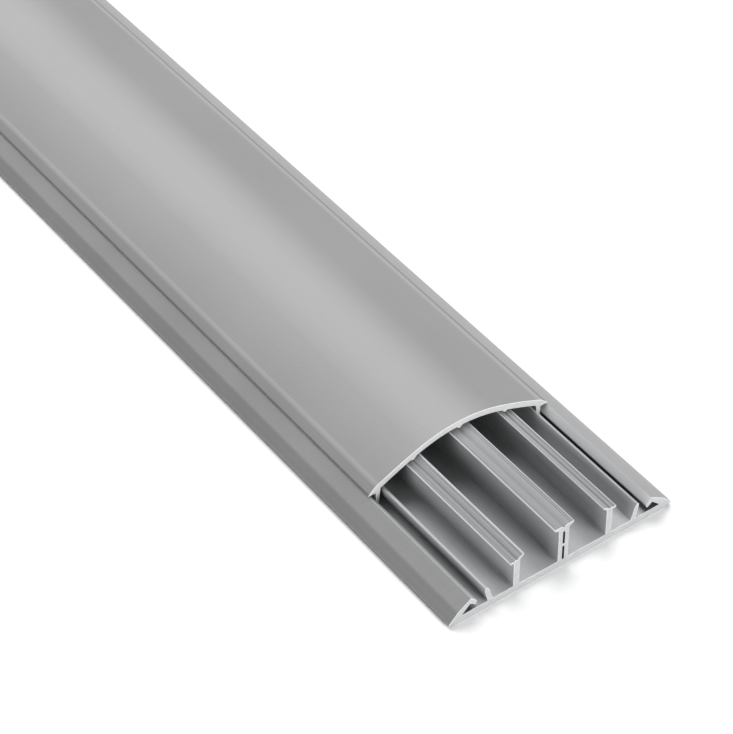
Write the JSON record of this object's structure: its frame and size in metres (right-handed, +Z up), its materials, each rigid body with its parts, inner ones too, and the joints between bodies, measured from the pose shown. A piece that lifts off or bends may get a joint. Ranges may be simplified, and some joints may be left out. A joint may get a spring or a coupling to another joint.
{
  "type": "floor cord cover",
  "caption": "Domed floor cord cover of grey PVC: a flat base with four lengthwise cable compartments, and a domed cover that clips on, set back from one end.",
  "frame": {"origin": "centre of the underside, halfway along the length, on the floor", "axes": "+Y along the length, away from the end where the base shows; +Z up; +X across, to the right when looking along +Y"},
  "size_m": [0.075, 2, 0.018],
  "materials": {
    "base_pvc": "extruded PVC, satin",
    "cover_pvc": "extruded PVC, satin"
  },
  "bodies": {
    "root": {"base": "base_pvc", "cover": "cover_pvc"}
  },
  "joints": []
}
